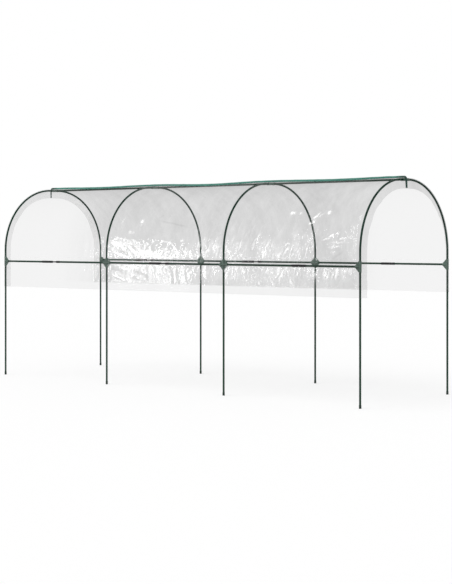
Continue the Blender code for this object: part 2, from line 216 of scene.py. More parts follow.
def ramp_node(tree, factor, stops):
    """A colour ramp from (position, colour) stops."""
    made = node(tree, "ShaderNodeValToRGB", {"Fac": factor})
    ramp = made.color_ramp
    while len(ramp.elements) < len(stops):
        ramp.elements.new(1.0)
    for element, (position, color) in zip(ramp.elements, stops):
        element.position = position
        element.color = (*color, 1.0)
    return made.outputs["Color"]


def mix_colors(tree, factor, first, second):
    inputs = {"Factor": factor, "A": first, "B": second}
    return node(tree, "ShaderNodeMix", inputs, data_type="RGBA").outputs["Result"]


def mix_shaders(tree, factor, first, second):
    """A node that mixes the shaders of two nodes."""
    return node(tree, "ShaderNodeMixShader", {"Fac": factor, 1: first.outputs[0], 2: second.outputs[0]})


def bump_node(tree, height, strength, distance):
    inputs = {"Height": height, "Strength": strength, "Distance": distance}
    return node(tree, "ShaderNodeBump", inputs).outputs[0]


def object_position(tree):
    return node(tree, "ShaderNodeTexCoord").outputs["Object"]


def empty_material(name):
    """A material without nodes, and its tree."""
    mat = bpy.data.materials.new(name)
    mat.use_nodes = True
    mat.node_tree.nodes.clear()
    return mat, mat.node_tree


def end_with(tree, shader):
    """The shader of a node as the material's surface."""
    node(tree, "ShaderNodeOutputMaterial", {"Surface": shader.outputs[0]})


# Finishes


def worn_color(tree, tone, low, high, share, pale):
    """A tone that turns pale by a share on convex edges, where it is rubbed."""
    bare = node(tree, "ShaderNodeNewGeometry").outputs["Pointiness"]
    return mix_colors(tree, range_node(tree, bare, low, high, 0.0, share), tone, (*pale, 1))


def powder_coat(name):
    """Dark green coat on steel tube: fine orange peel, a cloudy and flecked tone, and faint rub marks."""
    mat, tree = empty_material(name)
    where = object_position(tree)
    cloud = noise_node(tree, where, 14.0, 5.0)
    fleck = noise_node(tree, where, 420.0, 3.0)
    peel = noise_node(tree, where, 950.0, 2.0)
    mixed = math_node(tree, "MULTIPLY_ADD", fleck, 0.35, cloud)
    stops = [(0.45, (0.003, 0.034, 0.019)), (0.68, (0.005, 0.046, 0.026)), (0.95, (0.010, 0.063, 0.038))]
    tone = ramp_node(tree, mixed, stops)
    shader = node(
        tree,
        "ShaderNodeBsdfPrincipled",
        {
            "Base Color": worn_color(tree, tone, 0.53, 0.62, 0.5, (0.060, 0.090, 0.070)),
            "Roughness": range_node(tree, cloud, 0.3, 0.7, 0.30, 0.46),
            "Specular IOR Level": 0.05,
            "Normal": bump_node(tree, peel, 0.25, 0.0002),
        },
    )
    end_with(tree, shader)
    return mat


def moulded(name, dark, middle, light, roughness, grain, shine):
    """Moulded plastic: a fine grain, flow marks, and paler on the edges where it is rubbed."""
    mat, tree = empty_material(name)
    where = object_position(tree)
    flow = noise_node(tree, where, 45.0, 6.0, 0.6)
    fine = noise_node(tree, where, grain, 2.0)
    tone = ramp_node(tree, flow, [(0.32, dark), (0.5, middle), (0.72, light)])
    pale = [channel * 1.9 + 0.02 for channel in light]
    shader = node(
        tree,
        "ShaderNodeBsdfPrincipled",
        {
            "Base Color": worn_color(tree, tone, 0.52, 0.60, 0.45, pale),
            "Roughness": range_node(tree, flow, 0.3, 0.7, roughness - 0.06, roughness + 0.1),
            "Specular IOR Level": shine,
            "Normal": bump_node(tree, fine, 0.35, 0.0002),
        },
    )
    end_with(tree, shader)
    return mat


FILM_CLEAR, FILM_HAZE = 0.905, 0.082  # light let through where it is clear, and what full haze takes
EDGE_HAZE = 2.2  # added where it is seen edge on
WHITE = (1, 1, 1, 1)
MILKY = (0.97, 0.97, 0.97, 1)
CREST_PAINTED_WHITE, DUST_WHITE = 0.5, 0.006  # the share that is milky on a sharp crest, as a painted highlight, and everywhere
FILM_MIRROR = 0.026  # of both faces, seen square on
FILM_EDGE_MIRROR = 0.12  # what it gains seen edge on
CREST_SHEEN = 0.70  # the share of blurred shine on a sharp crest, a painted sheen
MIRROR_BLUR, SHEEN_BLUR = 0.09, 0.45


def clear_film(name):
    """Clear soft film: it lets most light through, mirrors the lamps, and has painted highlights on its sharp
    creases, milky white and a blurred sheen.
    """
    mat, tree = empty_material(name)
    where = object_position(tree)
    marks = {}
    for mark in MARKS:
        marks[mark] = node(tree, "ShaderNodeAttribute", attribute_name=mark).outputs["Fac"]
    fine = noise_node(tree, where, 30.0, 5.0, 0.6)
    ripple = math_node(tree, "MULTIPLY", fine, math_node(tree, "ADD", marks["creased"], 0.12))
    relief = bump_node(tree, ripple, 0.55, 0.0022)
    facing = node(tree, "ShaderNodeLayerWeight", {"Blend": 0.5, "Normal": relief}).outputs["Facing"]

    # Light let through: less where it is hazy, and less where shade is painted into its tint
    stretched = {"Vector": where, "Rotation": (0, 0.6, 0), "Scale": (9.0, 4.0, 3.2)}
    leaning = node(tree, "ShaderNodeMapping", stretched).outputs[0]
    mottle = range_node(tree, noise_node(tree, leaning, 1.0, 8.0, 0.72), 0.3, 0.7, 0.40, 1.60)
    edge_haze = math_node(tree, "MULTIPLY", math_node(tree, "POWER", facing, 4.0), EDGE_HAZE)
    haze = math_node(tree, "MULTIPLY_ADD", marks["haze_and_shade"], mottle, edge_haze)
    tint = math_node(tree, "MULTIPLY_ADD", haze, -FILM_HAZE, FILM_CLEAR)
    clear = node(tree, "ShaderNodeBsdfTransparent", {"Color": tint})

    # Painted highlights on the crests: those that the vertices carry, broken up, and fine slanted streak
    # lines
    broken = range_node(tree, fine, 0.35, 0.6, 0.55, 1.0)
    drawn_out = {"Vector": where, "Rotation": (0, 0.30, 0), "Scale": (0.014, 0.060, 0.110)}
    slanted = node(tree, "ShaderNodeMapping", drawn_out, vector_type="TEXTURE").outputs[0]
    painted_streaks = range_node(tree, noise_node(tree, slanted, 1.0, 5.0, 0.6), 0.47, 0.72, 0.0, 0.50)
    painted_streaks = math_node(tree, "MULTIPLY", painted_streaks, marks["creased"])
    crest = math_node(tree, "MULTIPLY_ADD", marks["lit"], broken, painted_streaks)

    # Painted highlights: milky white on the crests
    painted_white = math_node(tree, "MULTIPLY_ADD", crest, CREST_PAINTED_WHITE, DUST_WHITE)
    front = node(tree, "ShaderNodeBsdfDiffuse", {"Color": MILKY, "Normal": relief})
    through = node(tree, "ShaderNodeBsdfTranslucent", {"Color": MILKY, "Normal": relief})
    body = mix_shaders(tree, painted_white, clear, mix_shaders(tree, 0.4, front, through))

    # Mirrored lamps, and a painted sheen: blurred shine on the crests
    edge = math_node(tree, "POWER", facing, 5.0)
    mirrored = math_node(tree, "MULTIPLY_ADD", edge, FILM_EDGE_MIRROR, FILM_MIRROR)
    rim = math_node(tree, "MULTIPLY", mirrored, marks["gloss"])
    mirror = node(tree, "ShaderNodeBsdfGlossy", {"Color": WHITE, "Roughness": MIRROR_BLUR, "Normal": relief})
    sheen = node(tree, "ShaderNodeBsdfGlossy", {"Color": WHITE, "Roughness": SHEEN_BLUR, "Normal": relief})
    shown = math_node(tree, "MULTIPLY", math_node(tree, "POWER", crest, 1.5), CREST_SHEEN)
    end_with(tree, mix_shaders(tree, shown, mix_shaders(tree, rim, body, mirror), sheen))
    return mat


def threads(tree, uv, scale, direction):
    """Threads of a tape, side by side in a direction."""
    inputs = {"Vector": uv, "Scale": scale, "Distortion": 0.6, "Detail": 1.0}
    return node(tree, "ShaderNodeTexWave", inputs, bands_direction=direction).outputs["Fac"]


def off_line(tree, value, line):
    """How far a value is from a line."""
    return math_node(tree, "ABSOLUTE", math_node(tree, "SUBTRACT", value, line))


def woven_tape(name):
    """Green woven tape with a row of stitches near its foot, and painted shade: darker where it hangs down
    the lips and towards the ridge's ends.
    """
    mat, tree = empty_material(name)
    uv = node(tree, "ShaderNodeTexCoord").outputs["UV"]
    weave = math_node(tree, "MAXIMUM", threads(tree, uv, 260.0, "Y"), threads(tree, uv, 190.0, "X"))
    cloud = noise_node(tree, object_position(tree), 9.0, 5.0, 0.6)
    mixed = math_node(tree, "MULTIPLY_ADD", weave, 0.35, cloud)
    stops = [(0.45, (0.038, 0.180, 0.136)), (0.75, (0.062, 0.262, 0.202)), (1.0, (0.092, 0.345, 0.270))]
    tone = ramp_node(tree, mixed, stops)
    apart = node(tree, "ShaderNodeSeparateXYZ", {"Vector": uv}).outputs
    step = math_node(tree, "FRACT", math_node(tree, "MULTIPLY", apart["X"], 1 / STITCH_STEP))
    in_step = math_node(tree, "LESS_THAN", off_line(tree, step, 0.5), STITCH_SHARE / 2)
    in_row = math_node(tree, "LESS_THAN", off_line(tree, apart["Y"], STITCH_ROW), THREAD_R)
    thread = math_node(tree, "MULTIPLY", in_step, in_row)
    sewn = mix_colors(tree, thread, tone, (0.030, 0.110, 0.085, 1))
    # painted shade: the tails and the ridge's ends turn dark
    tail = node(tree, "ShaderNodeAttribute", attribute_name="tail").outputs["Fac"]
    color = mix_colors(tree, math_node(tree, "MULTIPLY", tail, 0.86), sewn, (0.004, 0.024, 0.015, 1))
    relief = math_node(tree, "MULTIPLY_ADD", thread, 0.9, weave)
    shader = node(
        tree,
        "ShaderNodeBsdfPrincipled",
        {
            "Base Color": color,
            "Roughness": 0.72,
            "Sheen Weight": 0.10,
            "Normal": bump_node(tree, relief, 0.5, 0.0003),
        },
    )
    end_with(tree, shader)
    return mat


# Shades of the mouldings: dark, middle and light
GREEN_SHADES = ((0.062, 0.108, 0.084), (0.078, 0.132, 0.102), (0.100, 0.162, 0.126))
BLACK_SHADES = ((0.008, 0.009, 0.009), (0.012, 0.013, 0.013), (0.019, 0.020, 0.020))
FOOT_SHADES = ((0.018, 0.030, 0.023), (0.024, 0.039, 0.030), (0.034, 0.052, 0.041))

# Finishes by the record's names; that of the foot caps is the scene's own
FINISHES = {
    "green_tube": powder_coat("powder_coat"),
    "green_plastic": moulded("green_moulding", *GREEN_SHADES, 0.52, 900.0, 0.5),
    "black_plastic": moulded("black_moulding", *BLACK_SHADES, 0.44, 1100.0, 0.1),
    "foot_plastic": moulded("foot_moulding", *FOOT_SHADES, 0.50, 1000.0, 0.1),
    "clear_film": clear_film("clear_film"),
    "ridge_fabric": woven_tape("woven_tape"),
}


# Pieces


def add_to_scene(name, data):
    made = bpy.data.objects.new(name, data)
    bpy.context.scene.collection.objects.link(made)
    return made


def add_piece(name, bm, finish):
    """A new piece on the body, in one of the record's finishes."""
    mesh = bpy.data.meshes.new(name)
    bm.to_mesh(mesh)
    bm.free()
    mesh.shade_smooth()
    mesh.materials.append(FINISHES[finish])
    piece = add_to_scene(name, mesh)
    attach(piece, "root")
    return piece


def hoop_x(hoop):
    return (hoop - (HOOPS + 1) / 2) * BAY


# Arches


def ring(bm, centre, across, depth, radius):
    """A ring of vertices about a centre, in the plane of two unit vectors."""
    made = []
    for k in range(ARCH_SIDES):
        turn = 2 * math.pi * k / ARCH_SIDES
        made.append(bm.verts.new(centre + (across * math.cos(turn) + depth * math.sin(turn)) * radius))
    return made


def bridge(bm, first, second):
    """Faces between two rings."""
    for k in range(len(first)):
        bm.faces.new((first[k - 1], first[k], second[k], second[k - 1]))


def arch_line(side, x):
    """(centre, outward) points of one half arch, from its foot at the rail to the ridge."""
    start = RAIL_Z + TUBE_END
    line = [(Vector((x, side * SPAN / 2, start)), Vector((0, side, 0)))]
    for k in range(ARCH_STEPS + 1):
        turn = k / ARCH_STEPS * math.pi / 2
        outward = Vector((0, side * math.cos(turn), math.sin(turn)))
        line.append((Vector((x, side * LEVEL, SPRING_Z)) + outward * BEND_R, outward))
    line.append((Vector((x, side * TUBE_END, APEX_Z)), Vector((0, 0, 1))))
    return line


def add_arch(hoop, side):
    """Half an arch as a tube with its wall, finer than the CAD's."""
    word = SIDES[side]
    bm = bmesh.new()
    along = Vector((1, 0, 0))
    line = arch_line(side, hoop_x(hoop))
    skins = []
    for radius in (TUBE_R, TUBE_R - TUBE_WALL):
        rings = [ring(bm, centre, along, outward, radius) for centre, outward in line]
        for first, second in zip(rings, rings[1:]):
            bridge(bm, first, second)
        skins.append(rings)
    for end in (0, -1):
        bridge(bm, skins[0][end], skins[1][end])
    bmesh.ops.recalc_face_normals(bm, faces=bm.faces[:])
    piece = add_piece(f"arch_{hoop}_{word}", bm, "green_tube")
    piece.data.set_sharp_from_angle(angle=SHARP)
    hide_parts(f"arch_tube_{hoop}_{word}")


for hoop in range(1, HOOPS + 1):
    for side in SIDES:
        add_arch(hoop, side)


# Cover film

# Dents, each with a painted highlight: (x, distance from crown, radius, height, rays)
BURSTS = [
    # Bay 2
    (-0.282, -0.663, 0.015, 0.0046, 0),
    (-0.282, -0.694, 0.012, 0.0022, 0),
    (-0.385, -0.759, 0.020, 0.0023, 0),
    (-0.345, -0.762, 0.018, 0.0022, 0),
    (0.080, -0.846, 0.018, 0.0016, 5),
    (0.215, -0.826, 0.012, 0.0018, 0),
    (0.265, -0.890, 0.012, 0.0018, 0),
    # Bay 3, above the rail
    (0.959, -0.852, 0.014, 0.0017, 0),
    (0.795, -0.879, 0.013, 0.0017, 0),
    (0.845, -0.938, 0.016, 0.0022, 0),
    (1.124, -0.900, 0.014, 0.0017, 0),
    (1.139, -0.930, 0.013, 0.0013, 0),
    (1.330, -0.935, 0.014, 0.0015, 0),
    (1.351, -0.606, 0.014, 0.0032, 0),
    (1.275, -0.600, 0.020, 0.0036, 2),
    (1.500, -0.679, 0.012, 0.0034, 0),
    (1.472, -0.695, 0.012, 0.0034, 0),
    (1.440, -0.740, 0.014, 0.0013, 0),
    (1.621, -0.606, 0.016, 0.0048, 0),
    (1.612, -0.802, 0.012, 0.0015, 0),
    (1.719, -0.872, 0.015, 0.0020, 0),
    # Bay 3, below the rail
    (0.862, -1.064, 0.016, 0.0022, 0),
    (0.730, -1.062, 0.014, 0.0015, 0),
    (0.892, -1.133, 0.015, 0.0018, 0),
    (0.786, -1.170, 0.014, 0.0013, 0),
    (1.016, -1.154, 0.015, 0.0020, 0),
    (1.110, -1.067, 0.022, 0.0014, 0),
    (1.470, -1.145, 0.018, 0.0015, 0),
    (1.360, -1.090, 0.013, 0.0013, 0),
    (1.693, -1.095, 0.013, 0.0011, 0),
    (1.707, -1.132, 0.013, 0.0013, 0),
    # Bay 1
    (-1.249, -1.159, 0.026, 0.0016, 4),
]

# Single folds: (x, distance from crown) at both ends, half width, height; a raised one gets a painted
# highlight, a hollow one painted shade
FOLDS = [
    # Bay 2, near the crown
    (-0.507, -0.684, -0.490, -0.622, 0.0066, 0.0026),
    (-0.628, -0.684, -0.560, -0.735, 0.0070, -0.0026),
    (-0.075, -0.655, 0.223, -0.713, 0.0062, -0.0038),
    (-0.120, -0.640, -0.060, -0.600, 0.0055, -0.0012),
    # Bay 2, a star
    (-0.020, -0.826, 0.068, -0.846, 0.0064, 0.0022),
    (0.070, -0.850, 0.112, -0.812, 0.0062, 0.0018),
    (0.085, -0.840, 0.155, -0.897, 0.0066, 0.0025),
    (0.150, -0.892, 0.212, -0.956, 0.0066, 0.0022),
    # Bay 2, soft swoops above the rail
    (-0.600, -0.842, -0.432, -0.872, 0.0190, 0.0024),
    (-0.385, -0.872, -0.290, -0.940, 0.0170, 0.0024),
    (-0.268, -0.912, -0.073, -0.942, 0.0200, 0.0022),
    (-0.560, -0.925, -0.383, -0.968, 0.0100, 0.0022),
    (-0.535, -0.905, -0.372, -0.948, 0.0110, -0.0024),
    (-0.402, -0.884, -0.296, -0.965, 0.0068, -0.0026),
    (-0.130, -0.958, 0.240, -0.967, 0.0100, 0.0018),
    # Bay 2, below the rail
    (-0.600, -1.062, -0.380, -1.108, 0.0140, -0.0026),
    (-0.500, -1.050, -0.360, -1.072, 0.0090, 0.0022),
    (-0.330, -1.075, -0.175, -1.120, 0.0130, -0.0026),
    (-0.590, -1.105, -0.400, -1.160, 0.0080, 0.0020),
    (-0.400, -1.128, -0.175, -1.158, 0.0080, -0.0014),
    (-0.164, -1.040, -0.164, -1.150, 0.0068, -0.0028),
    (0.050, -1.045, 0.055, -1.120, 0.0066, -0.0022),
    (0.108, -1.040, 0.118, -1.185, 0.0068, -0.0032),
    (0.138, -1.050, 0.142, -1.175, 0.0070, 0.0030),
    (0.165, -1.050, 0.190, -1.190, 0.0088, -0.0028),
    (0.205, -1.080, 0.275, -1.165, 0.0080, 0.0016),
    # Bay 3, above the rail
    (1.029, -0.764, 0.969, -0.827, 0.0066, 0.0021),
    (0.976, -0.874, 0.937, -0.905, 0.0066, 0.0016),
    (0.917, -0.886, 0.907, -0.932, 0.0070, 0.0018),
    (1.114, -0.832, 1.070, -0.900, 0.0085, 0.0020),
    (1.070, -0.895, 1.045, -0.965, 0.0120, 0.0022),
    (1.098, -0.905, 1.080, -0.960, 0.0066, -0.0018),
    (1.150, -0.895, 1.215, -0.880, 0.0140, 0.0013),
    (1.289, -0.843, 1.255, -0.882, 0.0072, 0.0022),
    (1.280, -0.872, 1.252, -0.896, 0.0064, -0.0026),
    (1.297, -0.877, 1.258, -0.930, 0.0078, 0.0024),
    (1.350, -0.914, 1.331, -0.951, 0.0075, 0.0018),
    (1.002, -0.905, 0.997, -0.931, 0.0066, 0.0015),
    (0.694, -0.894, 0.720, -0.925, 0.0080, 0.0022),
    (0.751, -0.837, 0.906, -0.825, 0.0060, -0.0018),
    (0.740, -0.972, 0.930, -0.975, 0.0080, 0.0014),
    (1.090, -0.978, 1.360, -0.980, 0.0080, 0.0014),
    (0.440, -0.770, 0.515, -0.950, 0.0072, 0.0015),
    (0.530, -0.810, 0.595, -0.960, 0.0070, 0.0014),
    # Bay 3, beside the far arch and hoop 4
    (1.540, -0.606, 1.490, -0.656, 0.0088, 0.0038),
    (1.572, -0.612, 1.535, -0.647, 0.0068, 0.0026),
    (1.486, -0.636, 1.470, -0.668, 0.0064, 0.0018),
    (1.927, -0.630, 1.914, -0.658, 0.0080, 0.0040),
    (1.914, -0.655, 1.932, -0.680, 0.0072, 0.0032),
    (1.606, -0.828, 1.668, -0.806, 0.0066, 0.0022),
    (1.665, -0.797, 1.715, -0.783, 0.0075, 0.0026),
    (1.725, -0.783, 1.752, -0.763, 0.0064, 0.0019),
    (1.765, -0.815, 1.832, -0.808, 0.0070, 0.0028),
    (1.845, -0.805, 1.872, -0.803, 0.0066, 0.0025),
    (1.689, -0.841, 1.820, -0.838, 0.0066, 0.0022),
    (1.665, -0.873, 1.790, -0.871, 0.0070, 0.0020),
    (1.690, -0.911, 1.740, -0.911, 0.0080, 0.0019),
    (1.715, -0.958, 1.800, -0.912, 0.0070, -0.0024),
    (1.335, -0.902, 1.405, -0.905, 0.0060, 0.0014),
    # Bay 3, below the rail
    (0.812, -1.111, 0.912, -1.140, 0.0080, 0.0016),
    (0.800, -1.140, 0.870, -1.175, 0.0075, 0.0015),
    (0.942, -1.086, 0.957, -1.162, 0.0070, 0.0018),
    (0.997, -1.085, 0.992, -1.169, 0.0066, 0.0015),
    (1.076, -1.099, 1.090, -1.160, 0.0070, 0.0017),
    (1.124, -1.105, 1.165, -1.190, 0.0085, 0.0022),
    (1.212, -1.090, 1.221, -1.180, 0.0070, 0.0019),
    (1.275, -1.070, 1.278, -1.130, 0.0066, -0.0018),
    (1.288, -1.050, 1.312, -1.105, 0.0085, 0.0018),
    (1.312, -1.105, 1.355, -1.180, 0.0090, 0.0021),
    (1.490, -1.055, 1.478, -1.105, 0.0095, 0.0016),
    (1.837, -1.085, 1.828, -1.112, 0.0075, 0.0013),
]
FULL_MARK = 0.0032  # height of a dent or fold that carries a full painted highlight or full painted shade
RELIEF = 0.55  # the share of a mark's height that is left in the film's form


def section(reach):
    """(Y, Z) on the tubes' centre line and the outward (Y, Z), at a distance from the crown; + is left."""
    side = 1 if reach >= 0 else -1
    run = abs(reach)
    if run <= LEVEL:
        return side * run, APEX_Z, 0.0, 1.0
    if run <= LEVEL + BEND:
        turn = (run - LEVEL) / BEND_R
        out_y, out_z = math.sin(turn), math.cos(turn)
        return side * (LEVEL + out_y * BEND_R), SPRING_Z + out_z * BEND_R, side * out_y, out_z
    return side * SPAN / 2, SPRING_Z - (run - LEVEL - BEND), float(side), 0.0


def share_up(reach):
    """0 at the rail and 1 at the crown; below the rail negative, to -1 at the hem."""
    run = abs(reach)
    if run <= TO_RAIL:
        return 1 - run / TO_RAIL
    side = 1 if reach > 0 else -1
    return -(run - TO_RAIL) / (TO_HEM[side] - TO_RAIL)


def dip(bay, run):
    """How far the film hangs down halfway between two hoops, beside the ridge rail and away from it."""
    if run > DIP_AT:
        return DIP[bay] * math.exp(-(((run - DIP_AT) / DIP_REACH) ** 2))
    off_seat = max(0.0, (run - SEAT) / (DIP_AT - SEAT))
    return SEAT_DIP + (DIP[bay] - SEAT_DIP) * off_seat


def drawn_in(x, reach):
    """The CAD film's own sag between the hoops and swing of its hems."""
    bay = min(max(int((x + END_X) / BAY), 0), HOOPS - 2)
    along = (x + END_X) / BAY - bay
    free = math.sin(math.pi * along) ** 2
    share = share_up(reach)
    if share >= 0:
        return free * (SAG * math.sin(math.pi * share) + dip(bay, abs(reach)))
    phase = bay + 1 + (LEFT_PHASE if reach > 0 else 0)
    swing = 0.5 + 0.5 * math.cos(2 * math.pi * WAVES_IN_BAY * along + phase)
    return HEM_WAVE * -share * free * swing


def near(value, centre, width):
    """1 at the centre, falling off to both sides."""
    return math.exp(-(((value - centre) / width) ** 2))


def cling(distance, width):
    """1 on a tube, and falling off steeply at a distance."""
    return math.exp(-((distance / width) ** 4))


def between(value, low, high):
    """0 below low, 1 above high, smooth in between."""
    t = min(max((value - low) / (high - low), 0.0), 1.0)
    return t * t * (3 - 2 * t)


def off_hoop(x):
    """Distance to the nearest hoop."""
    return min(abs(x - hoop_x(hoop)) for hoop in range(1, HOOPS + 1))


def groove(off):
    """0 on a tube's line, 1 a little beside it and back to 0 further off."""
    t = off / GROOVE_AT
    return t * math.exp(1 - t)


def held_off(x, reach):
    """How far the film falls away on both sides of the hoops and the side rails, which hold it up."""
    hoop = off_hoop(x)
    rail = abs(abs(reach) - TO_RAIL)
    at_hoop = near(hoop, 0, 0.020)
    at_rail = near(rail, 0, 0.020)
    at_ridge = near(reach, 0, 0.045)
    beside_hoop = groove(hoop) * (1 - at_rail) * (1 - at_ridge)
    return GROOVE * (beside_hoop + groove(rail) * (1 - at_hoop))


def ridges(x, reach, angle, pitch, stretch, seed):
    """Sharp-crested folds that run at an angle to the tunnel, from 0 to 1."""
    along = x * math.cos(angle) + reach * math.sin(angle)
    across = reach * math.cos(angle) - x * math.sin(angle)
    level = noise.noise(Vector((along / (pitch * stretch), across / pitch, seed)))
    return max(0.0, 1 - CREST_SLOPE * abs(level))


def creasing(x, reach):
    """How much the film is creased, 0 to 1.

    Most of it is by the rails, towards hoop 4 on the right side and towards hoop 1 on the left.
    """
    share = share_up(reach)
    if reach < 0:
        off_hoop_1 = between(x, -1.25, -0.55)
        past_middle = between(x, 0.0, 0.75)
        by_hoop_4 = between(x, 1.50, 1.65) if share > 0 else 0.0
        along_tunnel = (0.10 + 0.50 * off_hoop_1 + 0.40 * past_middle) * (1 - 0.65 * by_hoop_4)
    else:
        along_tunnel = 0.15 + 0.75 * (1 - between(x, 0.55, 1.1))
    by_rail = near(share, -0.1, 0.38)
    in_hem = between(-share, 0.7, 0.95)
    return along_tunnel * (0.16 + 0.84 * by_rail) * (1 - 0.7 * in_hem)


def hazing_and_shading(x, reach):
    """How much the film darkens what is seen through it: partly haze and partly painted shade.

    The right side is hazy, clearing towards hoop 1 and in its hem. The left side is darker from haze and
    painted shade, and clears towards hoop 4, where light comes in at the open end. A narrow line along the
    ridge is painted shade under the binding.
    """
    off_hoop_1 = between(x, -1.30, -0.55)
    to_hoop_4 = between(x, 1.0, 1.6)
    in_hem = between(abs(reach) - TO_RAIL, *HEM_STRIP)
    right = off_hoop_1 * (1 + 0.35 * to_hoop_4) * (1 - 0.8 * in_hem)
    left = 1 - between(x, 0.80, 1.35)
    to_left = between(reach, -0.12, 0.12)
    seam_shade = near(reach, 0.0, 0.016)
    return right * (1 - to_left) + left * to_left + SEAM_SHADE * seam_shade


def glossing(x, reach):
    """How strongly the film mirrors at a place, as a painted mask on the lamps' reflections: least where it
    lies on a tube or a connector, and less in bay 1, towards hoop 4, over and under the rail, in the hem and
    on the left side.
    """
    hoop = off_hoop(x)
    rail = abs(abs(reach) - TO_RAIL)
    lies = max(
        cling(hoop, CLING),
        cling(rail, CLING_RAIL),
        cling(math.hypot(hoop, rail), CLING_CONNECTOR),
        near(reach, 0.015, CLING_RIDGE),
    )
    gloss = FIRST_BAY_GLOSS + (1 - FIRST_BAY_GLOSS) * between(x, -0.69, -0.64)
    for loss, low, high in GLOSS_FALLS:
        gloss *= 1 - loss * between(x, low, high)
    below = -reach - TO_RAIL
    over_rail = between(below, -0.052, -0.040) * (1 - between(below, 0.0, 0.02))
    under_rail = between(below, 0.015, 0.045) * (1 - between(x, 0.0, 0.3))
    in_hem = between(below, *HEM_STRIP)
    gloss *= (1 - 0.8 * over_rail) * (1 - 0.35 * under_rail) * (1 - 0.9 * in_hem)
    to_left = between(reach, -0.2, 0.2)
    return gloss * (1 - (1 - LEFT_GLOSS) * to_left) * (1 - lies)


def burst(x, reach, spot):
    """(share, height) of a dent with folds that run out from it like rays; the share is 0 to about 2."""
    centre_x, centre_reach, radius, height, rays = spot
    dx, dr = x - centre_x, reach - centre_reach
    far = math.hypot(dx, dr)
    if far > 2.5 * radius:
        return 0.0, height
    star = 1.0
    if rays:
        wobble = noise.noise(Vector((dx * 20, dr * 20, 3))) * 2
        star += 0.9 * math.cos(rays * math.atan2(dr, dx) + wobble) * min(1, far / (0.4 * radius))
    return star * near(far, 0, radius), height


def fold(x, reach, line):
    """(share, height) of a soft-ended fold along a line that wavers a little; the share is 0 to 1."""
    x1, r1, x2, r2, width, height = line
    run_x, run_r = x2 - x1, r2 - r1
    square = run_x * run_x + run_r * run_r
    share = ((x - x1) * run_x + (reach - r1) * run_r) / square
    if not -0.3 < share < 1.3:
        return 0.0, height
    off = ((x - x1) * run_r - (reach - r1) * run_x) / math.sqrt(square)
    off += 0.9 * width * noise.noise(Vector((share * 3, x1 * 50, 8)))
    if abs(off) > 3 * width:
        return 0.0, height
    ends = between(share, -0.2, 0.25) * (1 - between(share, 0.75, 1.2))
    return ends * near(off, 0, width), height


def listed_marks(x, reach):
    """(height, painted highlight, painted shade) of the listed dents and folds at a place."""
    if reach > 0:
        return 0.0, 0.0, 0.0
    height = white = hollow = 0.0
    for marks, form in ((BURSTS, burst), (FOLDS, fold)):
        for mark in marks:
            share, tall = form(x, reach, mark)
            height += tall * share
            if tall > 0:
                white = max(white, share**1.5 * (tall / FULL_MARK) ** 2)
            else:
                hollow = max(hollow, share * -tall / FULL_MARK)
    return height, min(white, 1.0), min(hollow, 1.0)


def painted_crest_streaks(x, reach, full):
    """Painted highlights on the crests of the small creases, from 0 to a half, in patches."""
    share = share_up(reach)
    patch = between(noise.noise(Vector((x * 6, reach * 6, 31))), -0.15, 0.35)
    faint_spot = near(x, 0.33, 0.09)
    at_hoop_4 = between(x, 1.76, 1.84) if share > 0 else 0.0
    patch *= (1 - 0.8 * faint_spot) * (1 - 0.8 * at_hoop_4)
    if share > -0.05:
        by_hoop_4 = between(x, 1.52, 1.62)
        rising = ridges(x, reach, *RISING) * (1 - by_hoop_4)
        falling = ridges(x, reach, *FALLING) * (1 - by_hoop_4)
        lying = ridges(x, reach, *LYING) * by_hoop_4
        crest = max(rising + 0.35 * lying, 0.7 * falling)
        crest *= 1 - between(share, 0.20 - 0.07 * by_hoop_4, 0.38 - 0.12 * by_hoop_4)
    else:
        crest = max(ridges(x, reach, *UPRIGHT), 0.8 * ridges(x, reach, *CROSSING))
    return 0.5 * crest**2 * patch * full


def crumple(x, reach, marked):
    """How far the creases lift the film outward, beyond the CAD's own form."""
    free = 1 - near(off_hoop(x), 0, 0.030)
    free *= 1 - 0.85 * near(abs(reach), TO_RAIL, 0.022)
    free *= between(abs(reach), 0.03, 0.16)
    full = creasing(x, reach)
    folds = sum(height * ridges(x, reach, *family) for height, family in CREASE_HEIGHTS)
    billow = BILLOW * noise.noise(Vector((x * 2.4, reach * 3.1, 4.0)))
    lift = billow * (0.35 + 0.65 * full) + folds * full + marked
    share = share_up(reach)
    if share < 0.05:
        upright = ridges(x, reach, *UPRIGHT) + CROSSING_SHARE * ridges(x, reach, *CROSSING)
        lift += UPRIGHT_HEIGHT * upright * full * (1 - between(share, -0.1, 0.05))
    return lift * free


def lip_lean(end, reach):
    """How far the lip at an end leans out of upright: none at its right foot, most at its left one."""
    share = 0.5 + 0.5 * reach / TO_HEM[-1]
    return LIP_FLARE[end] * share**2


def in_bend(reach):
    """1 in the middle of each bend, falling off to both sides."""
    return near(abs(reach), LEVEL + BEND / 2, 0.42)


def lip_gather(reach, depth):
    """Pleats that take up the lip's spare width round the bend, deeper towards its free edge."""
    wave = noise.noise(Vector((reach * 17, depth * 6, 21)))
    wave += 0.5 * noise.noise(Vector((reach * 41, depth * 9, 25)))
    return PLEAT * (depth / LIP) * wave * (0.25 + 0.75 * in_bend(reach))


def lip_marks(end, reach, depth):
    """The lip's marks: it is clearer towards its feet, creased most round the bend, and has painted
    highlights on its creases.
    """
    crease = LIP_CREASES[end] * (0.3 + 0.7 * in_bend(reach))
    return {
        "creased": crease,
        "haze_and_shade": LIP_HAZE[end] * (1 - 0.5 * between(abs(reach), 0.55, 1.0)),
        "gloss": LIP_GLOSS,
        "lit": LIP_LIT * ridges(depth * 2, reach, *ON_LIPS) ** 2 * crease,
    }


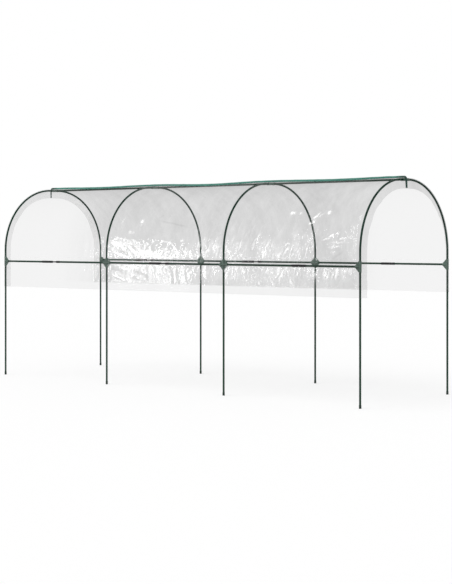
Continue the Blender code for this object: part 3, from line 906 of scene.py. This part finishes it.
def end_points(end, reach):
    """(place, its marks) along a row past an end hoop: round its tube, then inward along the lip."""
    y, z, out_y, out_z = section(reach)
    hub = Vector((end * END_X, y, z))
    outward = Vector((0, out_y, out_z))
    axis = Vector((end, 0, 0))
    points = []
    for k in range(1, FOLD_STEPS + 1):
        turn = k / FOLD_STEPS * math.pi / 2
        place = hub + (axis * math.sin(turn) + outward * math.cos(turn)) * FILM_OFF
        points.append((place, lip_marks(end, reach, 0.0)))
    lean = lip_lean(end, reach)
    run = axis * math.sin(lean) - outward * math.cos(lean)
    for k in range(1, LIP_STEPS + 1):
        depth = LIP * k / LIP_STEPS
        place = hub + axis * (FILM_OFF + lip_gather(reach, depth)) + run * depth
        points.append((place, lip_marks(end, reach, depth)))
    return points


def bay_points(reach, columns):
    """(place, its marks) along a row over the hoops, from hoop 1 to hoop 4."""
    y, z, out_y, out_z = section(reach)
    points = []
    for x in columns:
        height, white, hollow = listed_marks(x, reach)
        out = FILM_OFF - drawn_in(x, reach) - held_off(x, reach) + crumple(x, reach, height * RELIEF)
        full = creasing(x, reach)
        gloss = glossing(x, reach)
        shows = min(1.0, gloss * GLOSS_SHOWS)
        marks = {
            "creased": full * shows * (1.0 if reach < 0 else LEFT_CREASED),
            # darker tint: haze and painted shade, with painted shade in hollow folds
            "haze_and_shade": hazing_and_shading(x, reach) + hollow * HOLLOW_SHADE,
            "gloss": gloss * (1 - HOLLOW_DULL * hollow),
            # painted highlights, from the listed marks and from the crests
            "lit": max(white, painted_crest_streaks(x, reach, full)) * shows * (1.0 if reach < 0 else LEFT_LIT),
        }
        points.append((Vector((x, y + out_y * out, z + out_z * out)), marks))
    return points


def spaced(low, high, step, tubes):
    """Places from low to high about a step apart, and closer together beside the tubes."""
    count = round((high - low) / step)
    places = [low, high]
    for k in range(1, count):
        place = low + (high - low) * k / count
        if all(abs(place - tube) > BESIDE_TUBE[-1] + step / 3 for tube in tubes):
            places.append(place)
    for tube in tubes:
        for off in (0.0, *BESIDE_TUBE, *(-off for off in BESIDE_TUBE)):
            if low < tube + off < high:
                places.append(tube + off)
    return sorted(places)


def add_cover():
    """The film from hem to hem and from lip to lip, as one grid of vertices."""
    columns = spaced(-END_X, END_X, COLUMN_STEP, [hoop_x(hoop) for hoop in range(1, HOOPS + 1)])
    rows = spaced(-TO_HEM[-1], -TOP_ROWS_FROM, ROW_STEP, [-TO_RAIL])[:-1]
    rows += spaced(-TOP_ROWS_FROM, TOP_ROWS_FROM, TOP_ROW_STEP, [0.0])
    rows += spaced(TOP_ROWS_FROM, TO_HEM[1], ROW_STEP, [TO_RAIL])[1:]
    bm = bmesh.new()
    layers = {mark: bm.verts.layers.float.new(mark) for mark in MARKS}
    grid = []
    for reach in rows:
        points = end_points(-1, reach)[::-1] + bay_points(reach, columns) + end_points(1, reach)
        line = []
        for point, marks in points:
            vert = bm.verts.new(point)
            for mark, value in marks.items():
                vert[layers[mark]] = value
            line.append(vert)
        grid.append(line)
    for lower, upper in zip(grid, grid[1:]):
        for k in range(len(lower) - 1):
            bm.faces.new((lower[k], upper[k], upper[k + 1], lower[k + 1]))
    cover = add_piece("cover", bm, "clear_film")
    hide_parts("cover_film")


add_cover()


# Binding along the ridge


def tail_stations(end):
    """The binding's stations from an end of the ridge: round the end hoop, then down along the lip."""
    hub = Vector((END_X * end, 0, APEX_Z))
    stations = []
    for k in range(1, TURN_STEPS + 1):
        turn = math.radians(k * TURN_DEGREES)
        out = Vector((end * math.sin(turn), 0, math.cos(turn)))
        tall = FIN_AT_HOOPS + (FIN_AT_TAILS - FIN_AT_HOOPS) * k / TURN_STEPS
        stations.append((hub + out * FIN_FOOT, out, tall, 1.0))
    lean = lip_lean(end, 0.0)
    out = Vector((end * math.cos(lean), 0, math.sin(lean)))
    down = Vector((end * math.sin(lean), 0, -math.cos(lean)))
    start = hub + Vector((end * FIN_FOOT, 0, 0)) + out * FIT_GAP
    for k in range(TAIL_STEPS + 1):
        tall = FIN_AT_TAILS * (1 - TAIL_NARROWS * k)
        stations.append((start + down * FIN_TAIL * k / TAIL_STEPS, out, tall, 1.0))
    return stations


def fin_stations():
    """(foot on the film, direction out of it, height, painted shade) from hoop 1's tail over the ridge to
    hoop 4's.
    """
    inner_edge = FIN_Y + FIN_THICK / 2
    steps = round(2 * END_X / FIN_STEP)
    ridge = []
    for k in range(steps + 1):
        x = -END_X + 2 * END_X * k / steps
        foot = Vector((x, 0, APEX_Z + FIN_FOOT - drawn_in(x, inner_edge)))
        tall = FIN_BETWEEN + (FIN_AT_HOOPS - FIN_BETWEEN) * near(off_hoop(x), 0, 0.22)
        ridge.append((foot, Vector((0, 0, 1)), tall, between(abs(x), END_X - DARKENS, END_X)))
    return tail_stations(-1)[::-1] + ridge + tail_stations(1)


# Half of the binding's section: (half width, height) as shares of its thickness and height
FIN_SECTION = [
    (0.34, 0.0),
    (0.50, 0.08),
    (0.36, 0.20),
    (0.50, 0.32),
    (0.46, 0.60),
    (0.56, 0.82),
    (0.44, 0.95),
]


def add_binding():
    """A folded tape on edge: sewn along its foot, with a fuller fold along its top that sways a little."""
    outline = [(-wide, high) for wide, high in FIN_SECTION] + [(0, 1.0)] + FIN_SECTION[::-1]
    bm = bmesh.new()
    uv = bm.loops.layers.uv.new("weave")
    tail = bm.verts.layers.float.new("tail")
    loops = []
    for k, (foot, outward, tall, tail_shade) in enumerate(fin_stations()):
        sway = LONG_SWAY * noise.noise(Vector((k * 0.09, 2.0, 5.0)))
        sway += SHORT_SWAY * noise.noise(Vector((k * 0.40, 7.0, 1.0)))
        tall *= 1 + UNEVEN * noise.noise(Vector((k * 0.14, 9.0, 3.0)))
        loop = []
        for wide, high in outline:
            place = foot + Vector((0, FIN_Y + wide * FIN_THICK + sway * high, 0)) + outward * tall * high
            vert = bm.verts.new(place)
            vert[tail] = tail_shade
            loop.append(vert)
        loops.append(loop)
    count = len(outline)
    for k, (first, second) in enumerate(zip(loops, loops[1:])):
        for m in range(count):
            before = (m or count) - 1
            face = bm.faces.new((first[m], first[before], second[before], second[m]))
            for corner, (step, rim) in zip(face.loops, ((0, m), (0, before), (1, before), (1, m))):
                corner[uv].uv = ((k + step) * FIN_STEP, outline[rim][1] * FIN_BETWEEN)
    bm.faces.new(loops[0])
    bm.faces.new(loops[-1][::-1])
    bmesh.ops.recalc_face_normals(bm, faces=bm.faces[:])
    piece = add_piece("binding", bm, "ridge_fabric")
    piece.data.set_sharp_from_angle(angle=TAPE_SHARP)
    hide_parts("ridge_binding")


add_binding()


# Carried-over nodes: welded and smoothed, the mouldings with softened edges


def smoothing(name):
    """Geometry nodes that weld a mesh and shade it smooth, apart from its sharp edges."""
    tree = bpy.data.node_groups.new(name, "GeometryNodeTree")
    tree.interface.new_socket("Geometry", in_out="INPUT", socket_type="NodeSocketGeometry")
    tree.interface.new_socket("Geometry", in_out="OUTPUT", socket_type="NodeSocketGeometry")
    start = node(tree, "NodeGroupInput").outputs[0]
    weld = node(tree, "GeometryNodeMergeByDistance", {"Geometry": start, "Distance": WELD}).outputs[0]
    edge = node(tree, "GeometryNodeInputMeshEdgeAngle").outputs["Unsigned Angle"]
    sharp = node(tree, "FunctionNodeCompare", {0: edge, 1: SHARP}, operation="GREATER_THAN").outputs[0]
    inputs = {"Mesh": weld, "Remove Custom": True, "Edge Sharpness": sharp, "Face Sharpness": False}
    shade = node(tree, "GeometryNodeSetMeshNormal", inputs, mode="SHARPNESS")
    node(tree, "NodeGroupOutput", {0: shade.outputs[0]})
    return tree


# What the names of the nodes start with, in each finish; the others are tubes
STARTS = {
    "green_plastic": ("side_connector", "ridge_connector"),
    "black_plastic": ("rail_coupler",),
    "foot_plastic": ("foot_cap",),
}
SMOOTH = smoothing("weld_and_smooth")


def finish_of(name):
    for finish, starts in STARTS.items():
        if name.startswith(starts):
            return finish
    return "green_tube"


for name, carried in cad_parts.items():
    if carried.hide_render:
        continue
    finish = finish_of(name)
    for place in carried.material_slots:
        place.material = FINISHES[finish]
    step = carried.modifiers.new("smooth", "NODES")
    step.node_group = SMOOTH
    if finish in EDGE_WIDTH:
        soften = carried.modifiers.new("soften", "BEVEL")
        soften.width = EDGE_WIDTH[finish]
        soften.segments = 2
        soften.limit_method = "ANGLE"
        soften.angle_limit = SHARP
        soften.harden_normals = True


# Studio


def white_to_view(tree):
    """1 for the rays that see a backdrop: those of the camera, and those mirrored or passed on to it."""
    rays = node(tree, "ShaderNodeLightPath").outputs
    seen = math_node(tree, "MAXIMUM", rays["Is Camera Ray"], rays["Is Glossy Ray"])
    return math_node(tree, "MAXIMUM", seen, rays["Is Transmission Ray"])


def set_world():
    """Even light from all round, before a white backdrop."""
    world = bpy.data.worlds.new("studio")
    bpy.context.scene.world = world
    world.use_nodes = True
    tree = world.node_tree
    tree.nodes.clear()
    light = node(tree, "ShaderNodeBackground", {"Color": WHITE, "Strength": AMBIENT})
    white = node(tree, "ShaderNodeBackground", {"Color": WHITE, "Strength": 1.0})
    mixed = mix_shaders(tree, white_to_view(tree), light, white)
    node(tree, "ShaderNodeOutputWorld", {"Surface": mixed.outputs[0]})


def add_lamp(name, start, end, width, aim, glow):
    """A soft box from a start to an end point, turned towards an aim, that shows only in glossy surfaces."""
    start, end, aim = Vector(start), Vector(end), Vector(aim)
    middle = (start + end) / 2
    long_way = (end - start).normalized()
    across = long_way.cross((middle - aim).normalized()).normalized()
    back = across.cross(long_way)
    data = bpy.data.lights.new(name, "AREA")
    data.shape = "RECTANGLE"
    data.size = width
    data.size_y = (end - start).length
    data.energy = glow * math.pi * data.size * data.size_y
    lamp = add_to_scene(name, data)
    lamp.matrix_world = Matrix.Translation(middle) @ Matrix((across, long_way, back)).transposed().to_4x4()
    lamp.visible_camera = False
    lamp.visible_diffuse = False


def add_sky_light(name, source, strength, spread):
    """Even light over the whole floor from a broad source in a direction."""
    data = bpy.data.lights.new(name, "SUN")
    data.energy = strength
    data.angle = math.radians(spread)
    lamp = add_to_scene(name, data)
    lamp.rotation_euler = (-Vector(source)).to_track_quat("-Z", "Y").to_euler()
    lamp.visible_glossy = False


def add_floor():
    """A pale floor that is white where nothing shades it and keeps the shadows."""
    bm = bmesh.new()
    bmesh.ops.create_grid(bm, x_segments=4, y_segments=4, size=FLOOR_HALF)
    mesh = bpy.data.meshes.new("floor")
    bm.to_mesh(mesh)
    bm.free()
    floor = add_to_scene("floor", mesh)
    mat, tree = empty_material("pale_floor")
    lit = node(tree, "ShaderNodeBsdfDiffuse", {"Color": (FLOOR_GREY, FLOOR_GREY, FLOOR_GREY, 1)})
    lift = math_node(tree, "MULTIPLY", white_to_view(tree), FLOOR_LIFT)
    glow = node(tree, "ShaderNodeEmission", {"Color": WHITE, "Strength": lift})
    end_with(tree, node(tree, "ShaderNodeAddShader", {0: lit.outputs[0], 1: glow.outputs[0]}))
    mesh.materials.append(mat)


def add_camera():
    data = bpy.data.cameras.new("camera")
    data.lens = LENS
    data.sensor_width = SENSOR
    data.shift_x, data.shift_y = CAMERA_SHIFT
    data.clip_end = FAR_CLIP
    camera = add_to_scene("camera", data)
    camera.location = CAMERA_AT
    camera.rotation_euler = (math.pi / 2, 0, CAMERA_TURN)
    bpy.context.scene.camera = camera


set_world()
add_floor()
for light in SKY_LIGHTS:
    add_sky_light(*light)
for lamp in LAMPS:
    add_lamp(*lamp)
add_camera()
bpy.context.scene.view_settings.view_transform = "Standard"
